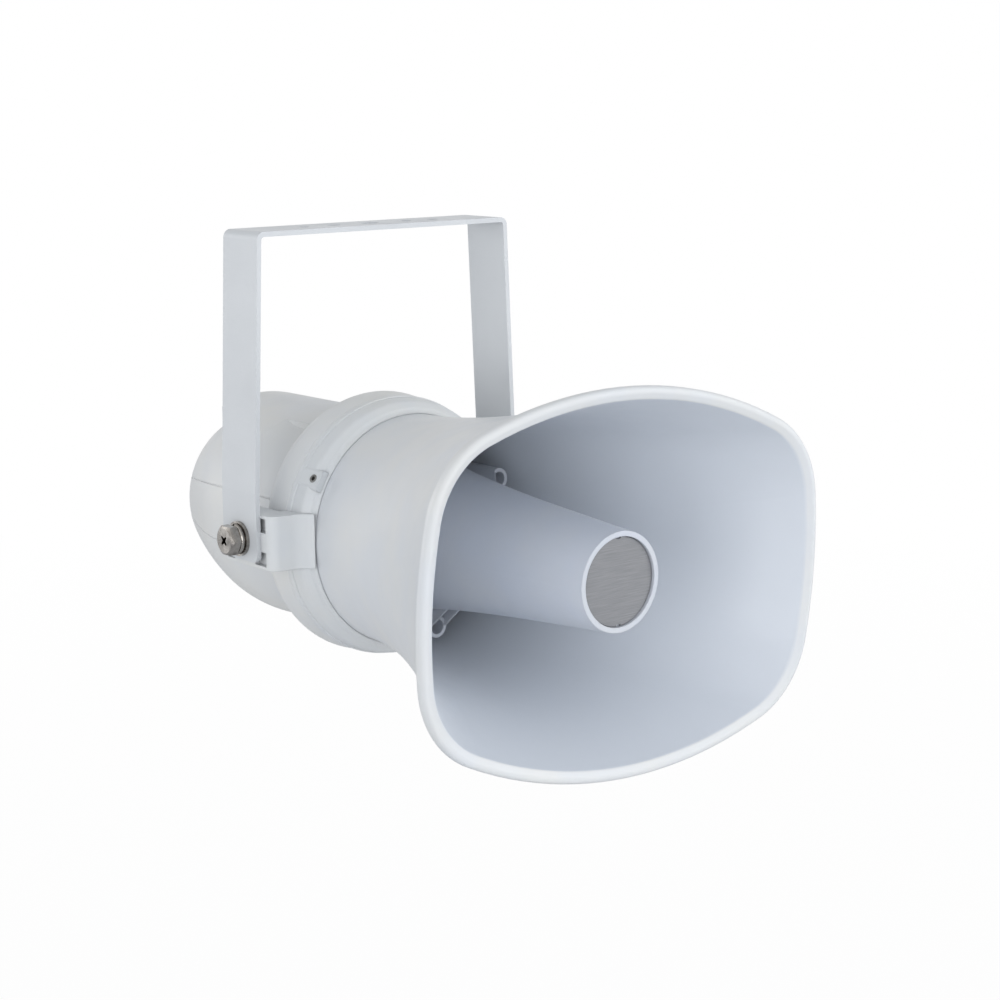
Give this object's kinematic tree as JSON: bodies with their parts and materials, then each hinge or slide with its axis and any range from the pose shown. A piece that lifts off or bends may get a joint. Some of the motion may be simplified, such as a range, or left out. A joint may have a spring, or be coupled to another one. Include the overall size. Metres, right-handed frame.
{
  "type": "horn loudspeaker",
  "caption": "Network horn loudspeaker with a flared oblong mouth, an inner reflector cone and a tilting U bracket with mounting holes.",
  "frame": {"origin": "middle of the outer face of the bracket's top plate, on the axis of its middle hole", "axes": "+Z out of the top plate, away from the horn; X from arm to arm; the mouth of the horn faces -Y at rest"},
  "size_m": [0.2226, 0.307, 0.2246],
  "materials": {
    "body_white": "moulded off-white plastic, fine grain",
    "bell_white": "moulded off-white plastic, smooth",
    "bracket_paint": "smooth pale grey-white powder coat",
    "stainless": "plain stainless steel",
    "zinc_screw": "zinc-plated steel",
    "brass_part": "turned brass",
    "disc_metal": "satin aluminium with fine streaks",
    "dark_plastic": "moulded black plastic",
    "film": "pressed polymer film",
    "copper_coil": "wound enamelled copper",
    "motor_steel": "zinc-plated mild steel",
    "ferrite": "sintered ferrite",
    "seal_rubber": "soft rubber",
    "board_green": "solder-mask laminate",
    "sink_metal": "extruded aluminium",
    "jack_metal": "tinned shield",
    "block_plastic": "moulded green plastic",
    "gland_plastic": "light grey nylon"
  },
  "bodies": {
    "bracket": {"mounting_bracket": "bracket_paint"},
    "horn": {"pivot_bolts": "stainless", "spring_washers": "stainless", "flat_washers": "stainless", "lug_inserts": "brass_part", "bell_horn": "bell_white", "clamp_ring": "body_white", "ring_set_screws": "stainless", "reflector_cone": "bell_white", "cone_disc": "disc_metal", "tone_tube": "dark_plastic", "baffle_plate": "dark_plastic", "bell_gasket": "seal_rubber", "housing_seal": "seal_rubber", "cone_screws": "zinc_screw", "driver_frame": "dark_plastic", "phase_plug": "dark_plastic", "diaphragm": "film", "voice_coil": "copper_coil", "top_plate": "motor_steel", "ring_magnet": "ferrite", "pole_yoke": "motor_steel", "driver_screws": "zinc_screw", "rear_housing": "body_white", "housing_screws": "zinc_screw", "main_board": "board_green", "board_spacers": "brass_part", "board_screws": "zinc_screw", "spacer_screws": "zinc_screw", "network_jack": "jack_metal", "line_transformer": "dark_plastic", "processor_chip": "dark_plastic", "heat_sink": "sink_metal", "terminal_block": "block_plastic", "capacitors": "dark_plastic", "filter_coils": "copper_coil", "gland_body": "gland_plastic", "gland_nut": "gland_plastic", "gland_washer": "seal_rubber", "gland_seal": "seal_rubber", "gland_cap": "gland_plastic"}
  },
  "joints": [
    {"name": "tilt", "type": "hinge", "parent": "bracket", "child": "horn", "pos_m": [0, 0, -0.1392], "axis": [1, 0, 0], "range_deg": [-40, 90]}
  ]
}
